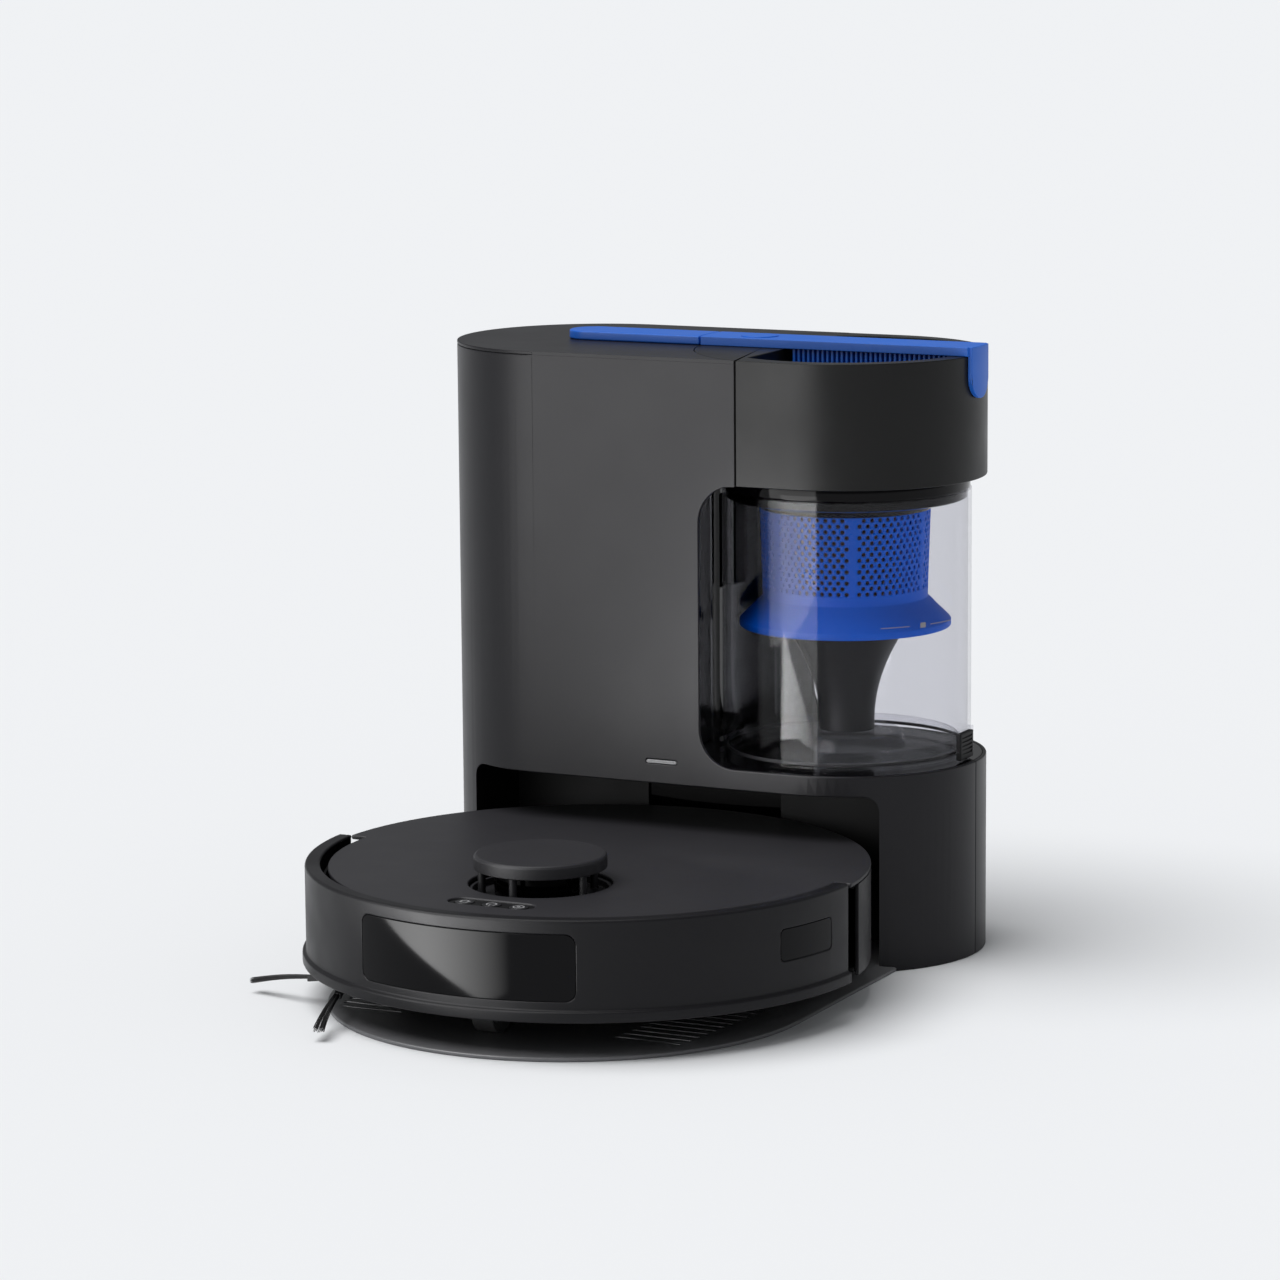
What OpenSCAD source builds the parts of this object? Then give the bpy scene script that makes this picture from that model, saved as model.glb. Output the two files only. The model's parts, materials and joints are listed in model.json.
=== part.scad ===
// Robot vacuum parked on its self-empty dock.
// Millimetres, +Z up, +X along the dock, -Y the way the robot drives off.
// The origin is on the floor, on the robot's vertical axis. Angles are in degrees.

/* [Dock] */
// Radius of the dock's two round ends
dock_r = 88.85; // [86:0.05:92]
// Distance between the centres of the two round ends
dock_span = 177.6; // [170:0.1:186]
// Height of the dock's flat top
dock_h = 382.3; // [376:0.1:390]
// Distance from the robot's axis back to the dock's middle plane
dock_y = 188.9; // [187:0.1:192]
// Thickness of the dock's shells
wall = 2.5; // [2:0.1:3]
// Half the width of the docking bay
bay_half = 142; // [140:0.5:143]
// Height of the docking bay's ceiling
bay_h = 112; // [108:0.5:116]
// Thickness of the base tray that the robot parks on
tray_t = 5; // [4:0.1:5]

/* [Bin] */
// Height of the seat that the dust cup stands on
seat_z = 124.8; // [122:0.1:126]
// Height of the underside of the bin's head
head_z = 303.8; // [302:0.1:306]
// Outer radius of the clear dust cup
cup_r = 79; // [78:0.1:79.2]
// Radius of the round seam between the head and the dock's body
seam_r = 96.3; // [96:0.1:98]
// Width of the blue handle bar and top strip
bar_w = 32; // [28:0.5:34]
// Height of the blue bar above the flat top
bar_h = 5.7; // [4:0.1:7]
// Number of fins on each side of the grip block
fin_count = 33; // [21:2:33]

/* [Robot] */
// Radius of the bumper's outer wall
robot_r = 175; // [174:0.1:175.5]
// Radius of the rear body shell
shell_r = 172; // [171:0.1:172.5]
// Radius of the top cover inside the bumper
cover_r = 160.9; // [159:0.1:162]
// Height of the top cover's face
cover_z = 82.5; // [82:0.1:83]
// Height of the bumper's top rim
bumper_z = 85.1; // [84:0.1:87]
// Height of the bumper's lower edge
lip_z = 24.2; // [23.8:0.1:25]
// Distance from the robot's axis forward to the lidar turret's axis
lidar_y = 66.4; // [64:0.1:68]
// Radius of the lidar turret's cap
cap_r = 40.3; // [38:0.1:41]
// Height of the lidar turret's cap
cap_z = 100.7; // [98:0.1:102]
// Distance from the robot's axis forward to the row of buttons
button_y = 129.5; // [128:0.1:131]

/* [Running gear] */
// Radius of a drive wheel
wheel_r = 32; // [31:0.1:32]
// Width of a drive wheel
wheel_w = 18; // [16:0.5:18]
// Distance from the robot's axis out to the middle of a drive wheel
wheel_x = 117; // [116:0.5:118]
// Radius of the main brush to the tips of its blades
brush_r = 21.2; // [20:0.1:21.3]
// Reach of a side-brush arm from the hub's axis
arm_reach = 80; // [70:0.5:81]

/* [Hidden] */
$fn = 96;

eps = 0.1; // overshoot of a cut past the face it opens
gap = 0.3; // clearance between parts that move apart
fit = 0.05; // radial clearance of a turning pin in its bore

end_x = dock_span / 2; // distance of each round end's centre from the middle
inner_r = dock_r - wall; // inside radius of the shells' round ends
front_y = dock_y - dock_r; // the dock's front plane
shell_top = dock_h - 2.2; // top edge of the shells, just under the top cap
bin_x = end_x; // the bin's vertical axis
cup_in = cup_r - 2.2; // inside radius of the cup
cup_z = seat_z + 4.4; // bottom edge of the cup's wall
cup_top = 295; // top edge of the cup's wall
cradle_r = 86; // radius of the hollow that the cup stands in
mouth_x = 26.6; // left edge of the bin's opening in the shells
mouth_corner = 24; // corner radius of that opening
tray_r = 150.5; // radius of the tray's round front
tray_y = -24; // centre of the tray's round front
well_r = 78.5; // radius of the finger wells in the head's top
well_z = 358; // floor of the finger wells
grip_x0 = 58; // left end of the grip block
grip_x1 = 165; // right end of the grip block
bar_z = dock_h + 0.1; // underside of the blue bar
button_x = 29; // place of the release button along the bar
hinge_x = bin_x - 82; // the lid hinge's axis
hinge_z = seat_z + 3.4;
head_r = seam_r - gap; // radius of the head's own side of the round seam
shadow_gap = 0.9; // width of the groove beside the head's front seam
pin_x = 25; // charging pins, each side of the middle
pin_z = 45;
port_x = -62; // the dust port's axis
port_z = 52;
duct_x = -26; // left side of the duct's riser beside the cup
inlet_z0 = 226; // the inlet slot through the cradle wall
inlet_z1 = 286;
fan_x = -74; // the dock fan's axis
fan_z = 338;
grille_x = -40; // the exhaust grille's middle
grille_z = 290;
inlet_x = -74; // the mains inlet's middle
inlet_z = 30;
arc_end = 1.5; // the bumper stops this many degrees short of the side-to-side line
panel_gap = 6.5; // the body shell starts this many degrees behind that line
window_half = 70.6; // half the front window's width
window_z0 = 36.5;
window_z1 = 76.5;
side_window_at = 74; // angle of the side window from straight ahead
axle_z = tray_t + gap + wheel_r;
pivot_y = 55; // the suspension arms' pivot
pivot_z = 48;
caster_y = -137; // the caster's swivel axis
caster_r = 13;
caster_trail = 6; // the caster wheel's axle sits this far behind the swivel axis
brush_y = -5;
brush_z = 27;
brush_half = 80; // half the main brush's bladed length
side_x = -113.5; // the side brush's axis
side_y = -105;
arm_first = 169; // direction of the first side-brush arm
box_y0 = 38;
box_y1 = 148;
box_half = 62;
board_green = [0.1, 0.35, 0.2];
dark = [0.17, 0.17, 0.19];
mid_grey = [0.25, 0.25, 0.27];
black = [0.06, 0.06, 0.07];
blue = [0.1, 0.32, 0.72];
steel = [0.7, 0.7, 0.72];
clear = [0.85, 0.88, 0.92, 0.35];

// Flat outlines -------------------------------------------------------------

// A stadium: two round ends of radius r joined by straight sides
module stadium(r) {
  translate([-end_x, dock_y]) circle(r);
  translate([end_x, dock_y]) circle(r);
  translate([-end_x, dock_y - r]) square([dock_span, 2 * r]);
}

// A rectangle centred on the origin with round corners
module round_rect(w, h, r) {
  square([w - 2 * r, h], center = true);
  square([w, h - 2 * r], center = true);
  for (x = [-1, 1], y = [-1, 1]) translate([x * (w / 2 - r), y * (h / 2 - r)]) circle(r);
}

// A slot with round ends
module slot(w, h) {
  square([w - h, h], center = true);
  for (x = [-1, 1]) translate([x * (w - h) / 2, 0]) circle(h / 2);
}

// The flat outline of the head: the right end of the stadium, cut by the round seam
module head_outline(seam, r) {
  intersection() {
    stadium(r);
    translate([bin_x, dock_y]) circle(seam);
  }
}

// Stands a flat outline up so that it faces -Y, from y0 back to y1
module facing(y0, y1) {
  translate([0, y1, 0]) rotate([90, 0, 0]) linear_extrude(y1 - y0) children();
}

// A pipe along Z
module tube(r_out, r_in, z0, z1) {
  translate([0, 0, z0]) linear_extrude(z1 - z0) difference() {
    circle(r_out);
    circle(r_in);
  }
}

// A rod along X, centred at x = 0
module rod_x(r, length) {
  rotate([0, 90, 0]) cylinder(r = r, h = length, center = true);
}

// Dock ----------------------------------------------------------------------

// The docking bay's cut-out, seen from the front
module bay_outline(grow) {
  translate([0, bay_h / 2 - 10]) round_rect(2 * (bay_half + grow), bay_h + 20 + 2 * grow, 10);
}

// The bin's opening, seen from the front
module bin_opening() {
  z0 = seat_z;
  z1 = head_z - 0.2;
  w = 200;
  translate([mouth_x + w / 2, (z0 + z1) / 2]) round_rect(w, z1 - z0, mouth_corner);
  translate([mouth_x + 60, z0]) square([w, z1 - z0]);
}

// Wall of the dock all round, before it is split into its front and rear shells
module shell_wall() {
  difference() {
    linear_extrude(shell_top) difference() {
      stadium(dock_r);
      stadium(inner_r);
    }
    facing(front_y - 10, dock_y + dock_r + 10) bin_opening();
    translate([bin_x, dock_y, head_z - 0.2]) cylinder(r = seam_r, h = dock_h);
    translate([bin_x + 30, front_y - 10, head_z - 0.2]) cube([100, 2 * dock_r + 20, dock_h]);
  }
}

module front_shell() {
  color(dark) difference() {
    shell_wall();
    translate([-300, dock_y, -eps]) cube([600, 300, dock_h]);
    facing(front_y - 10, dock_y + 10) bay_outline(0);
    facing(front_y - 10, front_y + 10) translate([0, 126]) slot(21.4, 2.7);
  }
}

module rear_shell() {
  color(dark) difference() {
    shell_wall();
    translate([-300, dock_y - 300, -eps]) cube([600, 300, dock_h]);
    // exhaust grille and mains inlet
    facing(dock_y, dock_y + 200) translate([grille_x, grille_z]) round_rect(84.4, 70.4, 8);
    facing(dock_y, dock_y + 200) translate([inlet_x, inlet_z]) round_rect(26.4, 19.4, 3);
  }
}

module dock_top() {
  color(mid_grey) translate([0, 0, shell_top + 0.1]) linear_extrude(dock_h - shell_top - 0.1) difference() {
    stadium(dock_r);
    translate([bin_x, dock_y]) circle(seam_r);
    translate([bin_x + 30, 0]) square([200, 600]);
  }
}

// The tray's cross-section from its middle out to the thin rim
module tray_profile() {
  polygon([[0, 0], [tray_r - 0.6, 0], [tray_r, 0.6], [tray_r, 2.2], [tray_r - 0.5, 2.7], [tray_r - 12, tray_t],
    [0, tray_t]]);
}

module base_tray() {
  color(mid_grey) difference() {
    union() {
      translate([0, tray_y, 0]) rotate([0, 0, 180]) rotate_extrude(angle = 180, $fn = 180) tray_profile();
      for (side = [0, 1]) mirror([side, 0, 0]) translate([0, dock_y, 0]) rotate([90, 0, 0])
        linear_extrude(dock_y - tray_y) tray_profile();
      linear_extrude(tray_t) stadium(inner_r - eps);
    }
    // the shells stand around the tray, so it stops at them except across the bay
    difference() {
      translate([0, 0, -eps]) linear_extrude(tray_t + 1) difference() {
        stadium(dock_r + eps);
        stadium(inner_r - eps);
      }
      translate([-bay_half + eps, 0, -1]) cube([2 * (bay_half - eps), dock_y, 20]);
    }
    // pockets for the feet
    for (p = feet()) translate([p[0], p[1], -eps]) cylinder(r = 10.2, h = 1.6);
    // the grooves of the ribbed treads, both sides, in front of the wheels
    for (side = [-1, 1], i = [0 : 13]) translate([side * (94 + i), -112 + 9.3 * i, tray_t - 0.9])
      linear_extrude(2) slot(44, 3.4);
  }
}

function feet() = [[-120, -60], [120, -60], [-120, 170], [120, 170], [-120, 230], [120, 230], [0, -150]];

module dock_feet() {
  color(black) for (p = feet()) translate([p[0], p[1], 0]) cylinder(r = 10, h = 1.5);
}

module bay_liner() {
  t = 2;
  color(black) difference() {
    intersection() {
      difference() {
        facing(front_y + wall + 0.05, 180) bay_outline(t);
        facing(front_y, 180 - t) bay_outline(0);
        translate([-300, 0, -100]) cube([600, 400, 100 + tray_t + 0.05]);
      }
      linear_extrude(300) stadium(inner_r - 0.05);
    }
    // infrared window, dust port and charging pins
    facing(170, 190) translate([0, 90]) round_rect(94, 30, 4);
    translate([port_x, 190, port_z]) rotate([90, 0, 0]) cylinder(r = 15, h = 20);
    for (x = [-1, 1]) translate([x * pin_x, 190, pin_z]) rotate([90, 0, 0]) cylinder(r = 4.3, h = 20);
  }
}

module ir_window() {
  color(black) facing(180.05, 183) translate([0, 90]) round_rect(100, 36, 5);
}

module port_seal() {
  color(black) translate([port_x, 177.9, port_z]) rotate([90, 0, 0]) rotate_extrude()
    polygon([[11, 0], [19, 0], [19, 2], [16, 3.5], [18, 5], [15, 7], [16.5, 8.5], [14, 10.5], [11, 10.5],
      [13, 8.5], [11.5, 7], [13, 5], [11, 3.5]]);
}

// The recess wall beside the cup, its ledge, the wall beside the head, and the seat
module bin_cradle() {
  color(black) intersection() {
    linear_extrude(shell_top) stadium(inner_r - 0.05);
    difference() {
      union() {
        translate([0, 0, seat_z - 2]) linear_extrude(head_z - seat_z + 2) hollow_outline(2);
        translate([0, 0, head_z - 2.2]) linear_extrude(shell_top) translate([bin_x, dock_y]) circle(seam_r + 2);
      }
      translate([0, 0, seat_z]) linear_extrude(dock_h) hollow_outline(0);
      translate([bin_x, dock_y, head_z - 0.2]) cylinder(r = seam_r, h = dock_h);
      // the dust inlet, and the clean-air outlet from the head
      translate([-20, dock_y - 7, inlet_z0]) cube([40, 22, inlet_z1 - inlet_z0]);
      translate([-20, dock_y - 20, head_z + 22]) cube([40, 40, 34]);
    }
  }
}

// The hollow that the cup stands in: a round back that opens into a flared mouth front and rear
module hollow_outline(t) {
  translate([bin_x, dock_y]) circle(cradle_r + t);
  reach = 50.5;
  inset = 9.8;
  polygon([[mouth_x - t, dock_y - dock_r], [mouth_x - inset - t, dock_y - reach],
    [mouth_x - inset - t, dock_y + reach], [mouth_x - t, dock_y + dock_r], [bin_x + 100, dock_y + dock_r],
    [bin_x + 100, dock_y - dock_r]]);
}

module strip_outline(x0, x1) {
  translate([x0 + bar_w / 2, dock_y]) circle(bar_w / 2);
  translate([x0 + bar_w / 2, dock_y - bar_w / 2]) square([x1 - x0 - bar_w / 2, bar_w]);
}

module top_strip() {
  color(blue) translate([0, 0, bar_z]) linear_extrude(bar_h) difference() {
    strip_outline(-105, 40);
    translate([bin_x, dock_y]) circle(seam_r + 0.2);
  }
}

module status_light() {
  color("white") facing(front_y + 0.1, front_y + wall) translate([0, 126]) slot(21, 2.3);
}

// The fan's pieces are drawn with the motor above and stand with the motor below
module at_fan() {
  translate([fan_x, dock_y, fan_z]) mirror([0, 0, 1]) children();
}

module fan_housing() {
  color(mid_grey) at_fan() difference() {
    union() {
      tube(62, 58, -20, 20);
      translate([0, 0, -22]) cylinder(r = 62, h = 2);
    }
    // tangential outlet towards the exhaust grille
    translate([-30, 40, -14]) cube([60, 40, 28]);
    translate([0, 0, -30]) cylinder(r = 16, h = 12);
  }
}

module fan_impeller() {
  color(steel) at_fan() {
    difference() {
      union() {
        translate([0, 0, -4]) cylinder(r = 50, h = 2.5);
        translate([0, 0, -4]) cylinder(r = 9, h = 16);
        for (i = [0 : 11]) rotate([0, 0, 30 * i]) translate([14, -1, -16]) rotate([0, 0, 25]) cube([34, 1.8, 13]);
      }
      translate([0, 0, -5]) cylinder(r = 3 + fit, h = 30);
    }
  }
}

module fan_motor() {
  color(steel) at_fan() {
    translate([0, 0, 24]) cylinder(r = 34, h = 62);
    translate([0, 0, 20.1]) cylinder(r = 61.5, h = 3.9);
    translate([0, 0, 86]) cylinder(r = 14, h = 10);
    translate([0, 0, -8]) cylinder(r = 3, h = 30);
  }
}

// The duct from the dust port up to the bin's inlet in the cradle wall
module suction_duct() {
  t = 2.5;
  x0 = port_x - 16;
  z0 = port_z - 16;
  low_z = 116;
  low_h = 32;
  color(mid_grey) difference() {
    union() {
      translate([port_x, 190, port_z]) rotate([90, 0, 0]) cylinder(r = 15.5, h = 9.8);
      translate([x0, 184, z0]) cube([32, 24, low_z + low_h - z0]);
      translate([x0, 184, low_z]) cube([-2 - x0, 24, low_h]);
      translate([duct_x, 178, low_z]) cube([-2 - duct_x, 30, inlet_z1 + t - low_z]);
    }
    translate([port_x, 195, port_z]) rotate([90, 0, 0]) cylinder(r = 12.5, h = 30);
    translate([x0 + t, 184 + t, z0 + t]) cube([32 - 2 * t, 24 - 2 * t, low_z + low_h - z0 - 2 * t]);
    translate([x0 + t, 184 + t, low_z + t]) cube([-2 - x0 - 2 * t, 24 - 2 * t, low_h - 2 * t]);
    translate([duct_x + t, 178 + t, low_z + t]) cube([-2 - duct_x - 2 * t, 30 - 2 * t, inlet_z1 - low_z - t]);
    translate([-10, dock_y - 7, inlet_z0]) cube([20, 22, inlet_z1 - inlet_z0]);
  }
}

module exhaust_grille() {
  y0 = dock_y + dock_r - wall;
  color(black) difference() {
    facing(y0, y0 + wall) translate([grille_x, grille_z]) round_rect(84, 70, 8);
    for (i = [-5 : 5]) facing(y0 - 1, y0 + 5) translate([grille_x, grille_z + 5.6 * i]) slot(72, 2.6);
  }
}

module control_board() {
  color(board_green) translate([-112, 110, 306]) cube([70, 1.6, 60]);
}

// The supply's box and the mains inlet that shows through the rear shell
module power_supply() {
  y0 = dock_y + dock_r;
  color(black) difference() {
    union() {
      translate([-136, 222, tray_t + 0.1]) cube([84, 34, 42]);
      facing(255, y0 - 0.2) translate([inlet_x, inlet_z]) round_rect(26, 19, 3);
    }
    facing(y0 - 14, y0 + 1) translate([inlet_x, inlet_z]) round_rect(22, 15, 2);
  }
}

module charge_pins() {
  color(steel) for (x = [-1, 1]) translate([x * pin_x, 0, pin_z]) rotate([90, 0, 0]) {
    translate([0, 0, -186]) cylinder(r = 4, h = 14);
    translate([0, 0, -172.1]) cylinder(r = 3, h = 1.2);
    translate([0, 0, -188]) cylinder(r = 6, h = 2.2);
  }
}

// Bin -----------------------------------------------------------------------

module at_bin() {
  translate([bin_x, dock_y, 0]) children();
}

module dust_cup() {
  color(clear) {
    difference() {
      union() {
        at_bin() tube(cup_r, cup_in, cup_z, cup_top);
        // ears that hold the lid's hinge pin
        for (y = [-14, 8]) {
          translate([hinge_x - 2.2, dock_y + y, hinge_z - 2.5]) cube([4.8, 6, 10]);
          translate([hinge_x - 2.2, dock_y + y, cup_z]) cube([7.7, 6, 6.5]);
        }
        // guides of the latch
        for (y = [-12.5, 10.5]) translate([bin_x + cup_r - 1.5, dock_y + y, cup_z]) cube([4.6, 2, 16]);
      }
      at_bin() translate([0, 0, cup_z - 5]) cylinder(r = cup_in, h = 40);
      // the dust inlet, facing the one in the dock
      translate([bin_x - cup_r - 2, dock_y - 5, inlet_z0 + 2]) cube([10, 18, inlet_z1 - inlet_z0 - 4]);
      translate([hinge_x, dock_y, hinge_z]) rotate([90, 0, 0]) cylinder(r = 1.5, h = 60, center = true);
    }
  }
}

module lid_hinge_pin() {
  color(steel) translate([hinge_x, dock_y, hinge_z]) rotate([90, 0, 0]) cylinder(r = 1.5, h = 28, center = true);
}

// The bottom lid: a rim, a sloping inner wall, and a round boss that the inner cone stands over
module bin_lid() {
  z = seat_z + 0.6;
  color(clear) difference() {
    union() {
      at_bin() translate([0, 0, z]) rotate_extrude() polygon([[0, 0], [78.4, 0], [78.4, 3.2], [75.6, 3.2],
        [75.6, 5.6], [73.4, 5.6], [70.6, 11], [68.4, 11], [65.4, 4.2], [38, 4.2], [35.4, 12.4], [33.6, 13.4],
        [0, 13.4]]);
      translate([hinge_x, dock_y - 7.5, z]) cube([10, 15, 3.2]);
      translate([hinge_x, dock_y, hinge_z]) rotate([90, 0, 0]) cylinder(r = 2.7, h = 15, center = true);
    }
    translate([hinge_x, dock_y, hinge_z]) rotate([90, 0, 0]) cylinder(r = 1.5 + fit, h = 30, center = true);
  }
}

module lid_seal() {
  color(black) at_bin() translate([0, 0, seat_z + 0.6]) rotate_extrude() polygon([[75.65, 3.25], [76.5, 3.25],
    [76.5, 5.2], [75.65, 5.2]]);
}

module lid_latch() {
  color(mid_grey) difference() {
    translate([bin_x + cup_r + 0.3, dock_y - 10, seat_z + 1.2]) cube([3.6, 20, 17]);
    for (i = [0 : 4]) translate([bin_x + cup_r + 3.2, dock_y - 8, seat_z + 4.5 + 2.6 * i]) cube([2, 16, 1.3]);
  }
}

// The black collar between head and cup, its plug inside the cup, and the funnel above the shroud
module head_collar() {
  color(black) at_bin() rotate_extrude() polygon([[56, head_z - 0.1], [77.6, head_z - 0.1], [78.2, 301],
    [78.2, 296.4], [77.8, cup_top + gap], [76.4, cup_top + gap], [76.4, 289.4], [74, 288.4], [59, 288.4],
    [54.3, 282.1], [51, 282.1], [51, 286]]);
}

module cyclone_shroud() {
  color(blue) at_bin() rotate_extrude() polygon([[54.2, 282], [52.3, 225.5], [67.2, 210.8], [67.2, 206.8],
    [65.4, 206.8], [65.4, 210], [50.3, 224.8], [52.2, 282]]);
}

// The cone's outer radius grows as the square of the height above its waist
function cone_r(z) = 17.6 + 0.0056 * pow(max(z - 145, 0), 2);

module cyclone_cone() {
  steps = 14;
  z0 = 139.6;
  z1 = 207;
  outer = [for (i = [0 : steps]) let (z = z0 + (z1 - z0) * i / steps) [cone_r(z), z]];
  inner = [for (i = [steps : -1 : 0]) let (z = z0 + (z1 - z0) * i / steps) [cone_r(z) - 2, z]];
  color(mid_grey) at_bin() {
    rotate_extrude() polygon(concat(outer, inner));
    tube(34, 32, 207.1, 281.9);
  }
}

module pleated_filter() {
  pleats = 60;
  color("white") at_bin() translate([0, 0, 309]) linear_extrude(40) difference() {
    polygon([for (i = [0 : 2 * pleats - 1]) let (r = i % 2 == 0 ? 62 : 56, a = 180 * i / pleats)
      [r * cos(a), r * sin(a)]]);
    circle(40);
  }
}

module bin_head() {
  floor_t = 2;
  top_t = 2.4;
  half_slot = 17.2;
  color(mid_grey) difference() {
    union() {
      difference() {
        translate([0, 0, head_z]) linear_extrude(dock_h - head_z) head_outline(head_r, dock_r);
        translate([0, 0, head_z + 2.5]) linear_extrude(dock_h - top_t - head_z - 2.5)
          head_outline(head_r - wall, inner_r);
      }
      // the lining of the finger wells
      intersection() {
        at_bin() translate([0, 0, well_z - floor_t]) cylinder(r = well_r + 1.6, h = dock_h - well_z);
        translate([grip_x0 - 8, 0, 0]) cube([300, 400, dock_h - 1]);
      }
    }
    // the wells: open at the top, either side of the grip block
    intersection() {
      at_bin() translate([0, 0, well_z]) cylinder(r = well_r, h = 60);
      translate([grip_x0 - 6, 0, 0]) cube([300, 400, 500]);
    }
    // outlet under the grip block, and the inlet from the cyclone
    translate([grip_x0 + 6, dock_y - 8, well_z - 5]) cube([grip_x1 - grip_x0 - 12, 16, 10]);
    at_bin() translate([0, 0, head_z - 1]) cylinder(r = 50, h = 5);
    // the release button's stem
    translate([button_x, dock_y, dock_h - 10]) cylinder(r = 4.5, h = 20);
    // shadow gap along the front seam
    translate([52, front_y - 1, head_z - 1]) cube([shadow_gap, 2.6, dock_h]);
  }
}

module handle_bar() {
  tab_half = 13.5;
  tab_z = dock_h - 27;
  color(blue) difference() {
    union() {
      intersection() {
        translate([-20, dock_y - bar_w / 2, bar_z]) cube([bin_x + dock_r + 20, bar_w, bar_h]);
        at_bin() cylinder(r = head_r - 0.2, h = 500);
      }
      // the tab that laps down over the head's round side
      intersection() {
        at_bin() tube(dock_r + 2.9, dock_r + 0.1, tab_z - 20, bar_z + bar_h);
        union() {
          translate([bin_x, dock_y - tab_half, tab_z + tab_half]) cube([120, 2 * tab_half, 60]);
          translate([bin_x, dock_y, tab_z + tab_half]) rotate([0, 90, 0]) cylinder(r = tab_half, h = 120);
        }
      }
      intersection() {
        at_bin() translate([0, 0, bar_z]) cylinder(r = dock_r + 2.9, h = bar_h);
        translate([bin_x + 40, dock_y - tab_half, 0]) cube([120, 2 * tab_half, 500]);
      }
    }
    translate([button_x, dock_y, bar_z + 1.6]) cylinder(r = 11.8, h = 20);
    translate([button_x, dock_y, bar_z - 1]) cylinder(r = 4.5, h = 20);
  }
}

// The block under the bar that fingers close on, with a comb of fins on both long sides
module grip_block() {
  pitch = (grip_x1 - grip_x0 - 1.7) / (fin_count - 1);
  z0 = well_z + 0.2;
  h = bar_z - 0.05 - z0;
  color(blue) {
    translate([grip_x0, dock_y - 10.5, z0]) cube([grip_x1 - grip_x0, 21, h]);
    for (i = [0 : fin_count - 1], side = [-1, 1])
      translate([grip_x0 + pitch * i, dock_y + (side > 0 ? 10.5 : -14.5), z0]) cube([1.7, 4, h]);
  }
}

module release_button() {
  color(blue) translate([button_x, dock_y, 0]) {
    translate([0, 0, bar_z + 4.2]) cylinder(r = 11.5, h = 2.1);
    translate([0, 0, dock_h - 8]) cylinder(r = 4.2, h = 13);
    translate([0, 0, dock_h - 9.6]) cylinder(r = 7, h = 1.6);
  }
}

// Robot ---------------------------------------------------------------------

// A swept ring about the robot's axis between two angles measured from straight ahead
module swept(from, to) {
  rotate([0, 0, from - 90]) rotate_extrude(angle = to - from, $fn = 180) children();
}

module window_outline(grow) {
  translate([0, (window_z0 + window_z1) / 2])
    round_rect(2 * (window_half + grow), window_z1 - window_z0 + 2 * grow, 6);
}

module side_window_outline(grow) {
  translate([0, 59.2]) round_rect(46 + 2 * grow, 19.4 + 2 * grow, 3);
}

module bumper() {
  color(dark) difference() {
    swept(-90 + arc_end, 90 - arc_end) polygon([[robot_r - 2.5, lip_z], [robot_r + 2.35, lip_z],
      [robot_r + 2.35, 30.7], [robot_r, 31.4], [robot_r, bumper_z - 1.2], [robot_r - 1.2, bumper_z],
      [robot_r - 8.6, bumper_z], [robot_r - 9.4, bumper_z - 0.8], [robot_r - 9.4, bumper_z - 1.8],
      [robot_r - 2.5, bumper_z - 1.8]]);
    facing(-190, -140) window_outline(0);
    rotate([0, 0, side_window_at]) facing(-190, -150) side_window_outline(0);
  }
}

module front_window() {
  color(black) intersection() {
    swept(-40, 40) translate([robot_r - 2.4, 30]) square([2.2, 50]);
    facing(-190, -140) window_outline(-0.1);
  }
}

module side_window() {
  color(black) intersection() {
    swept(side_window_at - 15, side_window_at + 15) translate([robot_r - 2.4, 30]) square([2.2, 50]);
    rotate([0, 0, side_window_at]) facing(-190, -150) side_window_outline(-0.1);
  }
}

// The pan, the inner wall behind the bumper, and the brackets that the running gear hangs on
module chassis() {
  pan_z = lip_z + 0.3;
  pan_t = 3;
  color(dark) difference() {
    union() {
      translate([0, 0, pan_z]) cylinder(r = 164.5, h = pan_t, $fn = 180);
      intersection() {
        translate([0, 0, pan_z]) cylinder(r = shell_r - 2.8, h = pan_t, $fn = 180);
        translate([-200, 18, 0]) cube([400, 200, 200]);
      }
      swept(-95, 95) translate([162.3, pan_z + 0.5]) square([2, 75.5 - pan_z]);
      // brackets of the suspension pivots
      for (side = [-1, 1]) translate([side * 89 - 2, pivot_y - 8, pan_z]) cube([4, 16, 32]);
      translate([0, caster_y, pan_z]) cylinder(r = 21, h = 24);
    }
    for (side = [0, 1]) mirror([side, 0, 0]) translate([wheel_x - 25.5, -36, pan_z - 1]) cube([37, 100, 5]);
    translate([-88.2, brush_y - 27.2, pan_z - 1]) cube([176.4, 54.4, 5]);
    translate([0, caster_y, pan_z - 1]) cylinder(r = 19.4, h = 13);
    translate([0, caster_y, pan_z - 1]) cylinder(r = 4 + fit, h = 40);
    translate([side_x, side_y, pan_z - 1]) cylinder(r = 5, h = 10);
    for (side = [-1, 1]) translate([side * 89, pivot_y, pivot_z]) rod_x(3 + fit, 10);
  }
}

module body_shell() {
  color(mid_grey) difference() {
    swept(90 + panel_gap, 270 - panel_gap) polygon([[shell_r - 2.5, lip_z - 1.4], [shell_r, lip_z - 1.4],
      [shell_r, cover_z - 3.1], [shell_r - 2.5, cover_z - 3.1]]);
    for (x = [-1, 1]) translate([x * pin_x - 8.2, 150, pin_z - 8.2]) cube([16.4, 40, 16.4]);
    translate([port_x, 190, port_z]) rotate([90, 0, 0]) cylinder(r = 15, h = 60);
  }
}

module charge_pads() {
  color(steel) intersection() {
    swept(150, 210) translate([shell_r - 2.4, 30]) square([2.4, 40]);
    union() for (x = [-1, 1]) translate([x * pin_x - 8, 150, pin_z - 8]) cube([16, 40, 16]);
  }
}

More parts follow.
